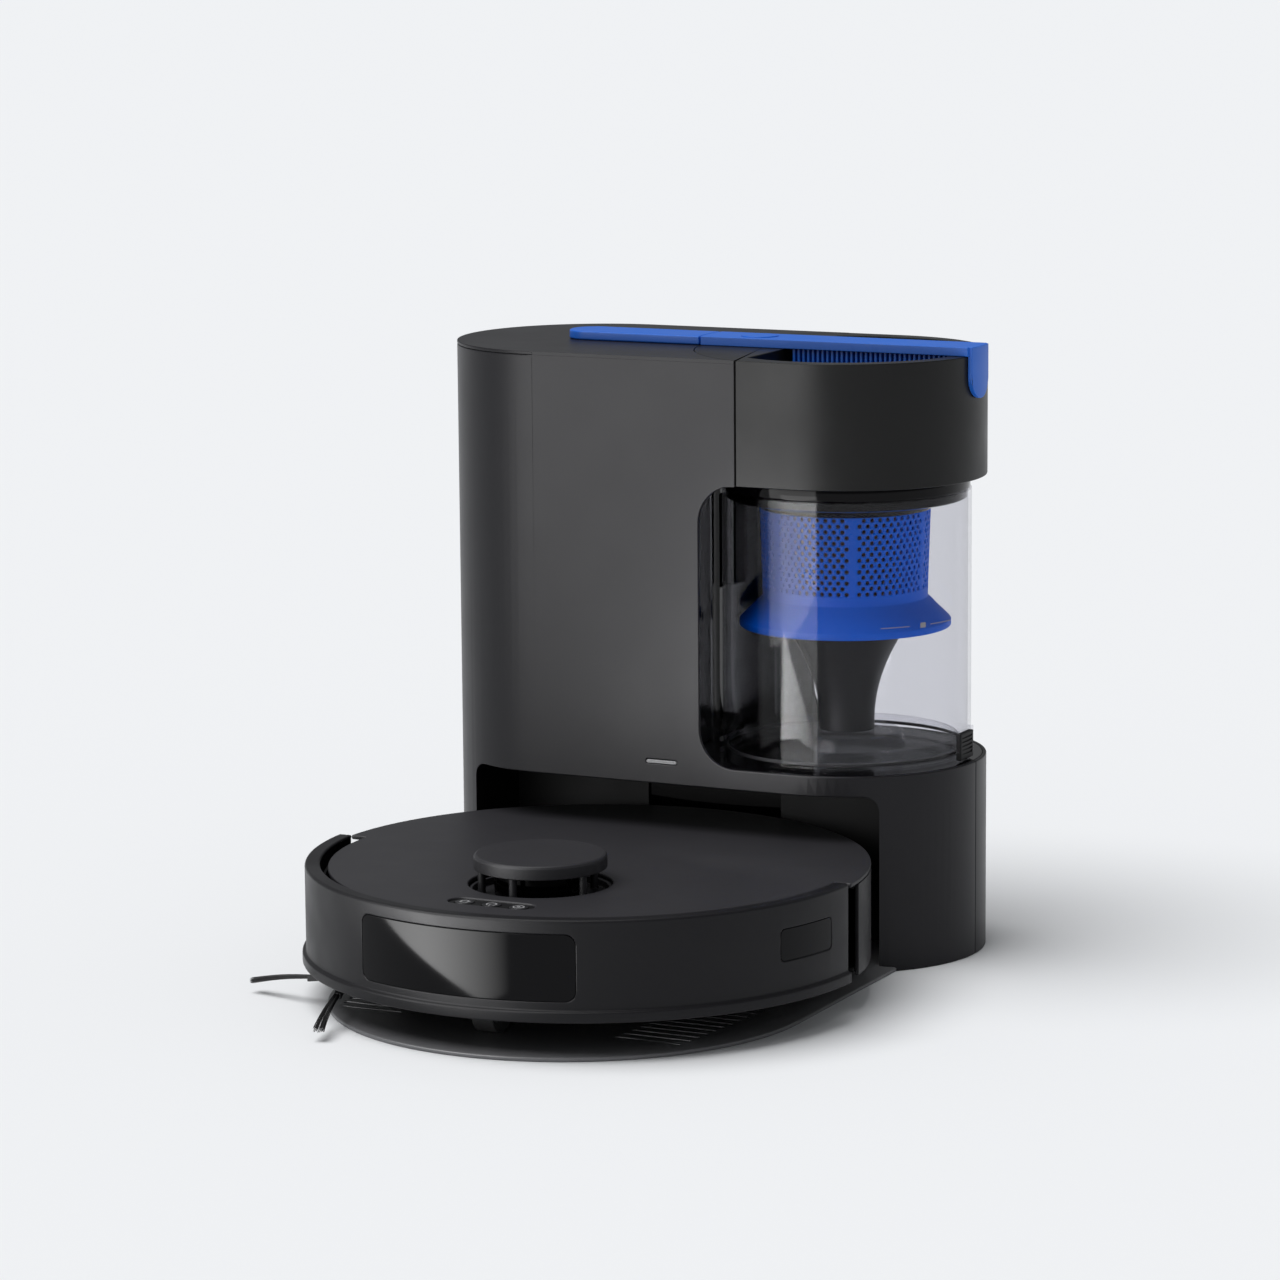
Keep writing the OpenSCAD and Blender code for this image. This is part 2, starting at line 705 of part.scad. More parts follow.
module mid_deck() {
  z = cover_z - 6.3;
  color(dark) difference() {
    union() {
      translate([0, 0, z]) cylinder(r = cover_r - 1, h = 3, $fn = 180);
      intersection() {
        translate([0, 0, z]) cylinder(r = shell_r - 3, h = 3, $fn = 180);
        translate([-200, 18, 0]) cube([400, 200, 200]);
      }
      translate([0, -button_y, z]) linear_extrude(5.2) slot(55, 15);
    }
    translate([0, -lidar_y, z - 1]) cylinder(r = 43.2, h = 10);
    translate([-box_half - 1, box_y0 - 1, z - 1]) cube([2 * box_half + 2, box_y1 - box_y0 + 2, 10]);
    for (x = [-18, 0, 18]) translate([x, -button_y, z - 1]) cylinder(r = 6.1, h = 10);
  }
}

module top_cover() {
  z = cover_z - 2.9;
  color(dark) difference() {
    translate([0, 0, z]) {
      cylinder(r = cover_r, h = 2.9, $fn = 180);
      intersection() {
        cylinder(r = shell_r, h = 2.9, $fn = 180);
        translate([-200, 6, 0]) cube([400, 200, 10]);
      }
    }
    translate([0, -lidar_y, z - 1]) cylinder(r = 43.6, h = 10);
    translate([0, -button_y, z - 1]) linear_extrude(10) slot(56, 16);
  }
}

module lidar_cage() {
  color(dark) translate([0, -lidar_y, 0]) {
    rotate_extrude() polygon([[23.5, 73], [43, 73], [43, 79.4], [41, 79.4], [41, 75], [23.5, 75]]);
    for (i = [0 : 4]) rotate([0, 0, 54 + 72 * i]) translate([36, 0, 74]) cylinder(r = 2.4, h = 19);
    rotate_extrude() polygon([[0, cap_z], [cap_r - 2, cap_z], [cap_r - 0.5, cap_z - 0.7], [cap_r, cap_z - 2.2],
      [cap_r, cap_z - 8.7], [cap_r - 2, cap_z - 8.7], [cap_r - 6, cap_z - 8.2], [0, cap_z - 8.2]]);
  }
}

module lidar_head() {
  color(black) translate([0, -lidar_y, 0]) {
    difference() {
      translate([0, 0, 76.2]) cylinder(r = 28, h = 15.2);
      for (a = [75, 105]) rotate([0, 0, a]) translate([0, -28.5, 84.5]) rotate([90, 0, 0])
        cylinder(r = 4, h = 6, center = true);
    }
    translate([0, 0, 66]) cylinder(r = 22, h = 10.3);
    translate([0, 0, 60]) cylinder(r = 6, h = 6);
  }
}

module lidar_pulley() {
  color(steel) translate([38, -lidar_y + 26, 0]) difference() {
    translate([0, 0, 66]) cylinder(r = 5.5, h = 6);
    translate([0, 0, 60]) cylinder(r = 1 + fit, h = 20);
  }
}

module lidar_motor() {
  color(steel) translate([38, -lidar_y + 26, 0]) {
    translate([0, 0, 56]) cylinder(r = 10, h = 9.4);
    translate([0, 0, 65.3]) cylinder(r = 1, h = 8);
  }
}

module top_button(x) {
  color(black) translate([x, -button_y, 0]) {
    translate([0, 0, cover_z - 7.5]) cylinder(r = 5.8, h = 6.9);
    translate([0, 0, cover_z - 9]) cylinder(r = 7.2, h = 1.6);
  }
}

module home_button() {
  top_button(-18);
}

module power_button() {
  top_button(0);
}

module spot_button() {
  top_button(18);
}

// A drive wheel: rubber tyre, plastic hub
module drive_wheel(side) {
  hub_r = wheel_r - 8;
  translate([side * wheel_x, 0, axle_z]) {
    color(black) rotate([0, 90, 0]) tube(wheel_r, hub_r + 0.02, -wheel_w / 2, wheel_w / 2);
    color(mid_grey) difference() {
      rod_x(hub_r, wheel_w - 3);
      rod_x(3 + fit, wheel_w + 5);
      translate([side * (wheel_w / 2 - 2), 0, 0]) rod_x(hub_r - 4, 3);
    }
  }
}

module left_wheel() {
  drive_wheel(1);
}

module right_wheel() {
  drive_wheel(-1);
}

// The gear case beside a wheel, with its axle and its pivot pin
module suspension_arm(side) {
  color(dark) mirror([side < 0 ? 1 : 0, 0, 0]) {
    x0 = 93;
    case_w = wheel_x - wheel_w / 2 - 1.5 - x0;
    translate([x0, 0, axle_z]) rotate([0, 90, 0]) cylinder(r = 20, h = case_w);
    translate([x0, 0, axle_z - 6]) cube([case_w, pivot_y, 22]);
    translate([x0, pivot_y, pivot_z]) rotate([0, 90, 0]) cylinder(r = 8, h = case_w);
    translate([x0 + 1, 0, axle_z]) rotate([0, 90, 0]) cylinder(r = 3, h = wheel_x + 5 - x0);
    translate([86, pivot_y, pivot_z]) rotate([0, 90, 0]) cylinder(r = 3, h = x0 - 85);
  }
}

module left_arm() {
  suspension_arm(1);
}

module right_arm() {
  suspension_arm(-1);
}

module caster_fork() {
  wheel_z = tray_t + gap + caster_r;
  color(dark) translate([0, caster_y, 0]) {
    translate([0, 0, 32.2]) cylinder(r = 15, h = 3);
    for (side = [-1, 1]) translate([side * 9 - 1, -6, wheel_z - 4]) cube([2, 17, 32.3 - wheel_z + 4]);
    translate([0, 0, 35]) cylinder(r = 4, h = 16);
    translate([0, caster_trail, wheel_z]) rod_x(1.5, 19);
  }
}

module caster_wheel() {
  color(black) translate([0, caster_y + caster_trail, tray_t + gap + caster_r]) difference() {
    rod_x(caster_r, 14.5);
    rod_x(1.5 + fit, 20);
  }
}

module main_brush() {
  blades = 6;
  color(black) translate([0, brush_y, brush_z]) {
    rod_x(9, 2 * brush_half);
    rod_x(3, 2 * brush_half + 14);
    for (i = [0 : blades - 1]) rotate([60 * i, 0, 0]) translate([-brush_half, -1.2, 8])
      cube([2 * brush_half, 2.4, brush_r - 8.04]);
  }
}

// The frame round the brush's mouth and the tunnel over the brush, with the brush's end bearings
module brush_guard() {
  half = 88;
  color(mid_grey) translate([0, brush_y, 0]) difference() {
    union() {
      translate([-half, -27, 14]) cube([2 * half, 54, 16]);
      translate([0, 0, brush_z]) rod_x(25.5, 2 * half);
    }
    translate([-half - 1, -40, 0]) cube([2 * half + 2, 80, 14]);
    translate([0, 0, brush_z]) rod_x(22.6, 2 * half - 7);
    translate([-half + 3.5, -22.6, 10]) cube([2 * half - 7, 45.2, 17]);
    translate([0, 0, brush_z]) rod_x(3 + fit, 2 * half + 2);
  }
}

module side_brush() {
  hub_z = 19.6;
  drop = asin((hub_z - tray_t - 0.8) / arm_reach);
  color(black) translate([side_x, side_y, 0]) {
    difference() {
      union() {
        translate([0, 0, hub_z - 1]) cylinder(r = 12, h = 5.2);
        for (i = [0 : 2]) rotate([0, 0, arm_first + 120 * i]) translate([6, -3, hub_z - 1])
          rotate([0, drop, 0]) cube([arm_reach - 6, 6, 2]);
      }
      translate([0, 0, hub_z - 2]) cylinder(r = 3 + fit, h = 20);
    }
  }
}

// The side brush's gear motor with its shaft, and the main brush's motor beside the tunnel
module brush_motors() {
  color(steel) {
    translate([side_x, side_y, 19]) cylinder(r = 3, h = 20);
    translate([side_x + 9.5, side_y + 9, 32]) cylinder(r = 15, h = 30);
    translate([-64, 29, 44]) rod_x(8, 40);
  }
}

// The dust box: an open tray with its filter door at the rear
module dust_box() {
  color([0.25, 0.27, 0.3]) difference() {
    translate([-box_half, box_y0, 40]) cube([2 * box_half, box_y1 - box_y0, 35]);
    translate([-box_half + 2, box_y0 + 2, 42]) cube([2 * box_half - 4, box_y1 - box_y0 - 12, 31]);
    translate([-box_half + 8, box_y1 - 12, 46]) cube([2 * box_half - 16, 13, 24]);
  }
}

module battery() {
  color([0.2, 0.3, 0.5]) translate([-46, -108, 29]) cube([92, 70, 24]);
}

module suction_fan() {
  color(mid_grey) translate([98, 94, 0]) {
    translate([0, 0, 30]) cylinder(r = 24, h = 22);
    translate([0, 0, 51.9]) cylinder(r = 15, h = 18);
  }
}

base_tray();
front_shell();
rear_shell();
dock_top();
bay_liner();
bin_cradle();
top_strip();
status_light();
ir_window();
port_seal();
suction_duct();
fan_housing();
fan_impeller();
fan_motor();
exhaust_grille();
control_board();
power_supply();
dock_feet();
charge_pins();
dust_cup();
bin_lid();
lid_seal();
lid_hinge_pin();
lid_latch();
bin_head();
handle_bar();
grip_block();
release_button();
head_collar();
cyclone_shroud();
cyclone_cone();
pleated_filter();
chassis();
body_shell();
mid_deck();
top_cover();
bumper();
front_window();
side_window();
lidar_cage();
lidar_head();
lidar_motor();
lidar_pulley();
home_button();
power_button();
spot_button();
left_wheel();
right_wheel();
left_arm();
right_arm();
caster_fork();
caster_wheel();
main_brush();
brush_guard();
side_brush();
brush_motors();
dust_box();
battery();
suction_fan();
charge_pads();
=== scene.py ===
"""Looks of a robot vacuum parked on its self-empty dock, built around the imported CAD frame.

Every CAD node that shows is re-skinned with welded, softened edges, and gets the detail that the CAD model
leaves out: holes in the cyclone's shroud, tyre treads, brush blades, bristles and the symbols on the keys.
Units are metres.
"""

import json
import math
import random

import bmesh
import bpy
from mathutils import Matrix, Quaternion, Vector
from mathutils.kdtree import KDTree


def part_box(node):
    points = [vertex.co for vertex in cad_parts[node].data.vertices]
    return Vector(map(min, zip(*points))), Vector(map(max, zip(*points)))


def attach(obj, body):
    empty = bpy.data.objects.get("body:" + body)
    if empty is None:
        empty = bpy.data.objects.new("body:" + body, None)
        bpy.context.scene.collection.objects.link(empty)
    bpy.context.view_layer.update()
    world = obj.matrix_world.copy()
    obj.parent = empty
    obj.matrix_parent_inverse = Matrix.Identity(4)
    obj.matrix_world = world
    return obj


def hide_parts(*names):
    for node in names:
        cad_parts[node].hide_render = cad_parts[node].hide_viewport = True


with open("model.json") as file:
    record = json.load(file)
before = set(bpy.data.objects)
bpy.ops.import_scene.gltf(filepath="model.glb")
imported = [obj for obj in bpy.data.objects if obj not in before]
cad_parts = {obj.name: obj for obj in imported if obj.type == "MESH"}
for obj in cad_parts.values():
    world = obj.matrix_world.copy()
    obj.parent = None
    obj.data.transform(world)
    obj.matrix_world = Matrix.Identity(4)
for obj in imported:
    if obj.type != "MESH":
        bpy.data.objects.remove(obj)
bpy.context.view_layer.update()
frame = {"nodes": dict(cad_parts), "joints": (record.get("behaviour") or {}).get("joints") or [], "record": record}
MM = 0.001

# ---------------------------------------------------------------- places, all from the frame
BODY_OF = {node: body for body, nodes in frame["record"]["behaviour"]["bodies"].items() for node in nodes}
SLOT_OF = {part["node"]: part["material_slot"] for part in frame["record"]["subparts"]}
PIVOT_OF = {joint["name"]: joint.get("pos_m") for joint in frame["joints"]}


def middle(node):
    """The centre of a CAD node's box."""
    low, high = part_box(node)
    return (low + high) / 2


CUP_R = (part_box("dust_cup")[1].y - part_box("dust_cup")[0].y) / 2
CUP_AXIS = Vector((middle("dust_cup").x, middle("cyclone_shroud").y, 0))
BRUSH_CENTRE = Vector(PIVOT_OF["main_brush_spin"])
SIDE_HUB = Vector((*PIVOT_OF["side_brush_spin"][:2], 0))


# ---------------------------------------------------------------- materials
GRAIN_HEIGHT = 0.2 * MM


def new_material(name):
    """An empty material with its output node."""
    material = bpy.data.materials.new(name)
    material.use_nodes = True
    tree = material.node_tree
    tree.nodes.clear()
    output = tree.nodes.new("ShaderNodeOutputMaterial")
    return material, tree, output


def noise(tree, scale, detail=2.0, stretch=(1, 1, 1)):
    """A noise texture in the shared frame, with scale grains to the metre."""
    coords = tree.nodes.new("ShaderNodeTexCoord")
    mapping = tree.nodes.new("ShaderNodeMapping")
    mapping.inputs["Scale"].default_value = stretch
    texture = tree.nodes.new("ShaderNodeTexNoise")
    texture.inputs["Scale"].default_value = scale
    texture.inputs["Detail"].default_value = detail
    tree.links.new(coords.outputs["Object"], mapping.inputs["Vector"])
    tree.links.new(mapping.outputs["Vector"], texture.inputs["Vector"])
    return texture


def spread(tree, texture, low, high):
    """Maps a texture's middle values onto low to high."""
    ranged = tree.nodes.new("ShaderNodeMapRange")
    ranged.inputs["From Min"].default_value = 0.3
    ranged.inputs["From Max"].default_value = 0.7
    ranged.inputs["To Min"].default_value = low
    ranged.inputs["To Max"].default_value = high
    tree.links.new(texture.outputs[0], ranged.inputs["Value"])
    return ranged.outputs["Result"]


def bump(tree, height, strength, distance):
    """A bump node fed by a height socket."""
    node = tree.nodes.new("ShaderNodeBump")
    node.inputs["Strength"].default_value = strength
    node.inputs["Distance"].default_value = distance
    tree.links.new(height, node.inputs["Height"])
    return node.outputs["Normal"]


def tinted(tree, colour, amount, scale, detail=3.0):
    """A colour that drifts by a share of itself over the surface."""
    mix = tree.nodes.new("ShaderNodeMix")
    mix.data_type = "RGBA"
    dark = [channel * (1 - amount) for channel in colour]
    light = [min(1.0, channel * (1 + amount)) for channel in colour]
    mix.inputs["A"].default_value = (*dark, 1)
    mix.inputs["B"].default_value = (*light, 1)
    tree.links.new(spread(tree, noise(tree, scale, detail), 0, 1), mix.inputs["Factor"])
    return mix.outputs["Result"]


def moulded(name, colour, roughness, grain=2600, depth=0.12, drift=0.05, wear=0.05, specular=0.5):
    """Moulded plastic: fine spark-eroded grain, slow drift of gloss and colour."""
    material, tree, output = new_material(name)
    shader = tree.nodes.new("ShaderNodeBsdfPrincipled")
    shader.inputs["Specular IOR Level"].default_value = specular
    tree.links.new(tinted(tree, colour, drift, 9), shader.inputs["Base Color"])
    gloss = spread(tree, noise(tree, 28), roughness - wear, roughness + wear)
    tree.links.new(gloss, shader.inputs["Roughness"])
    tree.links.new(bump(tree, noise(tree, grain).outputs[0], depth, GRAIN_HEIGHT), shader.inputs["Normal"])
    tree.links.new(shader.outputs[0], output.inputs["Surface"])
    return material


def metal(name, colour, roughness, stretch=(1, 1, 40), grain=220):
    """Brushed, cast or plated metal with streaks along its stretch."""
    material, tree, output = new_material(name)
    shader = tree.nodes.new("ShaderNodeBsdfPrincipled")
    shader.inputs["Metallic"].default_value = 1.0
    streaks = noise(tree, grain, 4, stretch)
    tree.links.new(tinted(tree, colour, 0.06, 40), shader.inputs["Base Color"])
    tree.links.new(spread(tree, streaks, roughness - 0.08, roughness + 0.08), shader.inputs["Roughness"])
    tree.links.new(bump(tree, streaks.outputs[0], 0.15, GRAIN_HEIGHT), shader.inputs["Normal"])
    tree.links.new(shader.outputs[0], output.inputs["Surface"])
    return material


def clear(name, tint, mirrored=0.012, mirrored_edge_on=0.6, roughness=0.015):
    """A clear moulded wall: light goes straight through it, and a glancing angle mirrors more of it."""
    material, tree, output = new_material(name)
    see_through = tree.nodes.new("ShaderNodeBsdfTransparent")
    see_through.inputs["Color"].default_value = (*tint, 1)
    gloss = tree.nodes.new("ShaderNodeBsdfGlossy")
    tree.links.new(spread(tree, noise(tree, 60), roughness, roughness * 2), gloss.inputs["Roughness"])
    facing = tree.nodes.new("ShaderNodeLayerWeight")
    facing.inputs["Blend"].default_value = 0.5
    steep = tree.nodes.new("ShaderNodeMath")
    steep.operation = "POWER"
    steep.inputs[1].default_value = 5
    share = tree.nodes.new("ShaderNodeMath")
    share.operation = "MULTIPLY_ADD"
    share.inputs[1].default_value = mirrored_edge_on - mirrored
    share.inputs[2].default_value = mirrored
    mix = tree.nodes.new("ShaderNodeMixShader")
    tree.links.new(facing.outputs["Facing"], steep.inputs[0])
    tree.links.new(steep.outputs[0], share.inputs[0])
    tree.links.new(share.outputs[0], mix.inputs["Fac"])
    tree.links.new(see_through.outputs[0], mix.inputs[1])
    tree.links.new(gloss.outputs[0], mix.inputs[2])
    tree.links.new(mix.outputs[0], output.inputs["Surface"])
    return material


def paper(name, colour):
    """Pleated filter paper: soft fibres and no gloss."""
    material, tree, output = new_material(name)
    shader = tree.nodes.new("ShaderNodeBsdfPrincipled")
    shader.inputs["Roughness"].default_value = 0.95
    tree.links.new(tinted(tree, colour, 0.04, 300), shader.inputs["Base Color"])
    tree.links.new(bump(tree, noise(tree, 1500, 6).outputs[0], 0.4, 0.3 * MM), shader.inputs["Normal"])
    tree.links.new(shader.outputs[0], output.inputs["Surface"])
    return material


MATERIALS = {
    "shell_plastic": moulded(
        "shell_plastic", (0.011, 0.0105, 0.013), 0.38, drift=0.03, wear=0.015, specular=0.22
    ),
    "head_plastic": moulded("head_plastic", (0.010, 0.010, 0.010), 0.38, specular=0.20),
    "tray_plastic": moulded("tray_plastic", (0.160, 0.160, 0.167), 0.34, depth=0.0, wear=0.02),
    "robot_plastic": moulded("robot_plastic", (0.0085, 0.0082, 0.0098), 0.40, specular=0.18),
    "cover_plastic": moulded(
        "cover_plastic", (0.0235, 0.023, 0.0265), 0.48, drift=0.03, wear=0.02, specular=0.28
    ),
    "dark_plastic": moulded("dark_plastic", (0.007, 0.007, 0.0075), 0.5, specular=0.15),
    "button_plastic": moulded("button_plastic", (0.02, 0.02, 0.022), 0.35, specular=0.3),
    "cone_plastic": moulded("cone_plastic", (0.020, 0.0195, 0.022), 0.45, specular=0.2),
    "smoke_plastic": moulded(
        "smoke_plastic", (0.003, 0.003, 0.0035), 0.08, depth=0.0, wear=0.02, specular=0.4
    ),
    "battery_wrap": moulded("battery_wrap", (0.02, 0.05, 0.15), 0.3, depth=0.03),
    "circuit_board": moulded("circuit_board", (0.01, 0.06, 0.03), 0.35, depth=0.05),
    "gloss_black": moulded(
        "gloss_black", (0.002, 0.0018, 0.0025), 0.08, depth=0.0, wear=0.015, specular=0.12
    ),
    "blue_plastic": moulded(
        "blue_plastic", (0.014, 0.135, 0.62), 0.42, depth=0.08, drift=0.04, specular=0.25
    ),
    "vivid_blue_plastic": moulded(
        "vivid_blue_plastic", (0.001, 0.150, 0.90), 0.45, depth=0.06, drift=0.04, specular=0.10
    ),
    "clear_plastic": clear("clear_plastic", (0.90, 0.90, 0.915)),
    "light_guide": moulded("light_guide", (0.36, 0.36, 0.37), 0.4, depth=0.02),
    "soft_rubber": moulded("soft_rubber", (0.012, 0.012, 0.013), 0.62, grain=1600, depth=0.2),
    "tyre_rubber": moulded("tyre_rubber", (0.014, 0.014, 0.015), 0.72, grain=1200, depth=0.3),
    "contact_metal": metal("contact_metal", (0.75, 0.62, 0.36), 0.3),
    "motor_steel": metal("motor_steel", (0.5, 0.5, 0.52), 0.35),
    "cast_aluminium": metal("cast_aluminium", (0.6, 0.61, 0.63), 0.4, (1, 1, 1), 900),
    "filter_paper": paper("filter_paper", (0.016, 0.016, 0.018)),
}


# ---------------------------------------------------------------- mesh tools
FULL_TURN = 2 * math.pi
STRAND_TAPER = 0.45


def publish(name, mesh_data, body, slot, smooth_deg=35):
    """Turns a bmesh into a piece that rides on a body, in a record slot's material."""
    mesh = bpy.data.meshes.new(name)
    bmesh.ops.recalc_face_normals(mesh_data, faces=mesh_data.faces)
    mesh_data.to_mesh(mesh)
    mesh_data.free()
    piece = bpy.data.objects.new(name, mesh)
    bpy.context.scene.collection.objects.link(piece)
    mesh.materials.append(MATERIALS[slot])
    mesh.shade_smooth()
    mesh.set_sharp_from_angle(angle=math.radians(smooth_deg))
    flats = piece.modifiers.new("flats", "WEIGHTED_NORMAL")
    flats.keep_sharp = True
    flats.weight = 80
    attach(piece, body)
    return piece


def ring_points(centre, radius, z, count, start=0.0, turn=FULL_TURN):
    """Points round a level arc; a part turn also has its last point."""
    points = []
    for i in range(count + (turn < FULL_TURN)):
        angle = start + turn * i / count
        points.append(Vector((centre.x + radius * math.cos(angle), centre.y + radius * math.sin(angle), z)))
    return points


def lathe(data, centre, profile, count=144, start=0.0, turn=FULL_TURN):
    """Turns a closed profile of (radius, z) about a vertical line into data; a part turn gets end faces."""
    rows = []
    for radius, z in profile:
        rows.append([data.verts.new(point) for point in ring_points(centre, radius, z, count, start, turn)])
    for low, high in zip(rows, rows[1:] + rows[:1]):
        for i in range(count):
            k = (i + 1) % len(low)
            data.faces.new((low[i], low[k], high[k], high[i]))
    if turn < FULL_TURN:
        data.faces.new([row[0] for row in rows])
        data.faces.new([row[-1] for row in reversed(rows)])


def strand(data, route, radius, sides=4):
    """A thin strand along a route of points, tapered towards its end."""
    rows = []
    for i, point in enumerate(route):
        ahead = route[min(i + 1, len(route) - 1)] - route[max(i - 1, 0)]
        side = ahead.cross(Vector((0, 0, 1))).normalized()
        over = side.cross(ahead).normalized()
        r = radius * (1 - STRAND_TAPER * i / (len(route) - 1))
        row = []
        for k in range(sides):
            way = 2 * math.pi * k / sides
            row.append(data.verts.new(point + side * (r * math.cos(way)) + over * (r * math.sin(way))))
        rows.append(row)
    for low, high in zip(rows, rows[1:]):
        for k in range(sides):
            data.faces.new((low[k], low[(k + 1) % sides], high[(k + 1) % sides], high[k]))
    data.faces.new(rows[0][::-1])
    data.faces.new(rows[-1])


def block(data, low, high, place=Matrix.Identity(4)):
    """A box between two corners, moved by place."""
    verts = []
    for x in (low[0], high[0]):
        for y in (low[1], high[1]):
            for z in (low[2], high[2]):
                verts.append(data.verts.new(place @ Vector((x, y, z))))
    for face in ((0, 1, 3, 2), (4, 6, 7, 5), (0, 4, 5, 1), (2, 3, 7, 6), (0, 2, 6, 4), (1, 5, 7, 3)):
        data.faces.new([verts[k] for k in face])


def merge(data, other):
    """Adds a finished bmesh to data and frees it."""
    mesh = bpy.data.meshes.new("merged")
    other.to_mesh(mesh)
    other.free()
    data.from_mesh(mesh)
    bpy.data.meshes.remove(mesh)


def sharp_edges(data, angle=28):
    """The edges of data where two faces meet at more than angle."""
    return [e for e in data.edges if len(e.link_faces) == 2 and e.calc_face_angle(0) > math.radians(angle)]


def rounded(data, width, segments=2, angle=28):
    """Rounds every edge of data sharper than angle."""
    sharp = sharp_edges(data, angle)
    bmesh.ops.bevel(
        data, geom=sharp, offset=width, segments=segments, profile=0.5, affect="EDGES", clamp_overlap=True
    )


# ---------------------------------------------------------------- softened copies of the CAD nodes
HALF = 0.45  # share of a gap that each of two rounded edges may use
WHOLE = 0.9  # share of a gap that one rounded edge may use
NEARBY = 2.2  # widths within which other sharp edges are looked for
BESIDE = 0.6  # least share of the distance to such an edge that lies across, and not along
NEAR_STRAIGHT = 3.1  # radians; a wider turn counts as this one
LEAST_SHARE = 0.15  # an edge with less room than this share of the width stays sharp
KNIFE_DEG = 125  # faces folded back further than this make a knife edge
NARROW_DEG = 50  # sharp edges that meet more narrowly than this stay sharp
WELD = 0.001 * MM  # corners of the CAD mesh nearer than this are one
FLAT_DEG = 0.4  # faces that meet more flatly than this are one


def room(edge, sharp, tree, width):
    """The share of width by which an edge can be rounded before it meets the edges around it."""
    ends = [vert.co for vert in edge.verts]
    length = (ends[1] - ends[0]).length
    along = (ends[1] - ends[0]).normalized()
    widest = width
    for loop in edge.link_loops:
        here, far = loop.vert.co, loop.link_loop_next.vert.co
        sides = (
            (loop.link_loop_next.edge, far, here, loop.link_loop_next.link_loop_next.vert),
            (loop.link_loop_prev.edge, here, far, loop.link_loop_prev.vert),
        )
        for side, corner, back, beyond in sides:
            reach = beyond.co - corner
            turn = reach.angle(back - corner, math.pi / 2)
            if side in sharp:
                half_turn = min(turn, NEAR_STRAIGHT) / 2
                widest = min(widest, HALF * min(length, reach.length) * math.tan(half_turn))
            else:
                share = HALF if any(other in sharp for other in beyond.link_edges) else WHOLE
                widest = min(widest, share * reach.length * math.sin(turn))
    centre = (ends[0] + ends[1]) / 2
    for point, _, distance in tree.find_range(centre, NEARBY * width):
        away = point - centre
        beside = (away - along * away.dot(along)).length > BESIDE * distance
        if beside and distance > 0:
            widest = min(widest, HALF * distance)
    return widest / width if widest > LEAST_SHARE * width else 0.0


def keen(edge, sharp):
    """Whether an edge is a knife edge or meets another sharp edge at a narrow angle."""
    if edge.calc_face_angle(0) > math.radians(KNIFE_DEG):
        return True
    for vert in edge.verts:
        along = edge.other_vert(vert).co - vert.co
        for other in vert.link_edges:
            if other is not edge and other in sharp:
                if other.calc_face_angle(0) > math.radians(KNIFE_DEG):
                    return True
                if along.angle(other.other_vert(vert).co - vert.co, math.pi) < math.radians(NARROW_DEG):
                    return True
    return False


def sharp_point_tree(sharp):
    """A search tree of the ends and middles of the sharp edges."""
    points = [vert.co for edge in sharp for vert in edge.verts]
    points += [sum((vert.co for vert in edge.verts), Vector()) / 2 for edge in sharp]
    tree = KDTree(len(points))
    for i, point in enumerate(points):
        tree.insert(point, i)
    tree.balance()
    return tree


def softened(node, width):
    """A copy of a CAD node with its edges rounded by up to width, standing in for the node."""
    source = frame["nodes"][node]
    data = bmesh.new()
    data.from_mesh(source.data)
    bmesh.ops.remove_doubles(data, verts=data.verts, dist=WELD)
    bmesh.ops.dissolve_limit(data, angle_limit=math.radians(FLAT_DEG), verts=data.verts, edges=data.edges)
    weight = data.edges.layers.float.new("bevel_weight_edge")
    sharp = set(sharp_edges(data))
    tree = sharp_point_tree(sharp)
    for edge in sharp:
        edge[weight] = 0.0 if keen(edge, sharp) else room(edge, sharp, tree, width)
    piece = publish(node + "_skin", data, BODY_OF[node], SLOT_OF[node])
    shares = piece.data.attributes["bevel_weight_edge"].data
    for edge, share in zip(piece.data.edges, shares):
        if share.value > 0:
            edge.use_edge_sharp = False
    soft = piece.modifiers.new("soft", "BEVEL")
    soft.limit_method = "WEIGHT"
    soft.width = width
    soft.segments = 2
    soft.use_clamp_overlap = False
    piece.modifiers.move(1, 0)
    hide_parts(node)


# How far the edges of each node are rounded, in mm; the other nodes keep the CAD's own mesh.
DOCK_EDGES = {
    "base_tray": 0.6, "front_shell": 0.8, "rear_shell": 0.8, "dock_top": 0.5, "bay_liner": 0.4,
    "bin_cradle": 0.8, "top_strip": 1.0, "status_light": 0.3, "ir_window": 0.5, "port_seal": 0.4,
    "exhaust_grille": 0.25, "dock_feet": 0.3, "charge_pins": 0.3,
}
BIN_EDGES = {
    "dust_cup": 0.5, "bin_lid": 0.4, "lid_seal": 0.2, "lid_latch": 0.5, "bin_head": 0.7, "handle_bar": 0.5,
    "grip_block": 0.3, "release_button": 0.6, "head_collar": 0.4, "cyclone_cone": 0.5,
}
ROBOT_EDGES = {
    "chassis": 0.5, "body_shell": 0.6, "mid_deck": 0.3, "top_cover": 0.9, "bumper": 0.9,
    "front_window": 0.3, "side_window": 0.3, "lidar_cage": 0.5, "lidar_head": 0.4,
    "home_button": 0.3, "power_button": 0.3, "spot_button": 0.3, "left_wheel": 0.6, "right_wheel": 0.6,
    "left_arm": 0.5, "right_arm": 0.5, "caster_fork": 0.4, "caster_wheel": 0.8, "brush_guard": 0.5,
    "charge_pads": 0.2, "dust_box": 0.8,
}
EDGES = DOCK_EDGES | BIN_EDGES | ROBOT_EDGES
for node, obj in frame["nodes"].items():
    if node in EDGES:
        softened(node, EDGES[node] * MM)
    else:
        obj.data.materials.clear()
        obj.data.materials.append(MATERIALS[SLOT_OF[node]])


